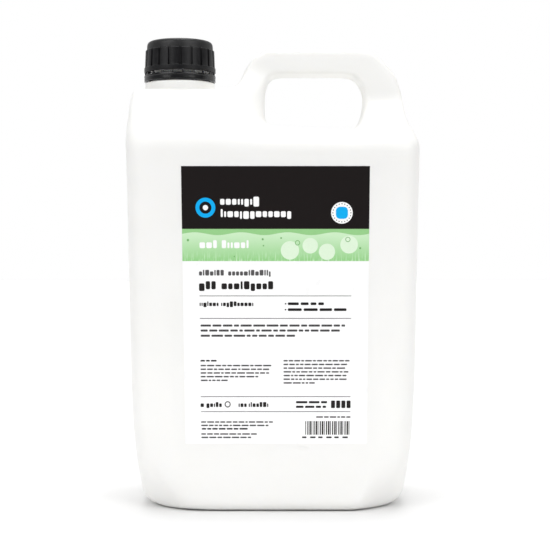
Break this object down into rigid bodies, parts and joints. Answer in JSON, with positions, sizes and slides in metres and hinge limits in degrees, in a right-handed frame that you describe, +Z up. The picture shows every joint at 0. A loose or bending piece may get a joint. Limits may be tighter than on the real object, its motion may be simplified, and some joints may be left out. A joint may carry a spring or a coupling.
{
  "type": "shampoo bottle",
  "caption": "Large white handled bottle for bulk pet shampoo, with a front label and a black ribbed tamper-evident screw cap.",
  "frame": {"origin": "middle of the bottle's footprint, on the surface it stands on", "axes": "+Z up, -Y out of the front label, -X towards the neck, +X towards the handle"},
  "size_m": [0.1683, 0.121, 0.273],
  "materials": {
    "white_polyethylene": "satin, faintly translucent blow-moulded HDPE",
    "printed_film": "white printed film, semi-gloss",
    "black_polypropylene": "satin black moulded polypropylene",
    "white_foam": "dull closed-cell foam",
    "black_ring": "glossier black, where the ring is thin and smooth"
  },
  "bodies": {
    "bottle": {"bottle_body": "white_polyethylene", "front_label": "printed_film"},
    "liner": {"cap_liner": "white_foam"},
    "cap": {"screw_cap": "black_polypropylene"},
    "ring": {"tamper_ring": "black_ring"}
  },
  "joints": [
    {"name": "cap_lift", "type": "slide", "parent": "bottle", "child": "liner", "axis": [0, 0, 1], "range_m": [0, 0.0241]},
    {"name": "cap_turn", "type": "hinge", "parent": "liner", "child": "cap", "pos_m": [-0.0558, 0, 0.26], "axis": [0, 0, 1], "range_deg": [0, 2160]},
    {"name": "tamper_ring_turn", "type": "hinge", "parent": "bottle", "child": "ring", "pos_m": [-0.0558, 0, 0.25], "axis": [0, 0, 1], "continuous": true}
  ],
  "couplings": [
    {"joint": "cap_lift", "follows": "cap_turn", "m_per_rad": 0.00063662}
  ]
}
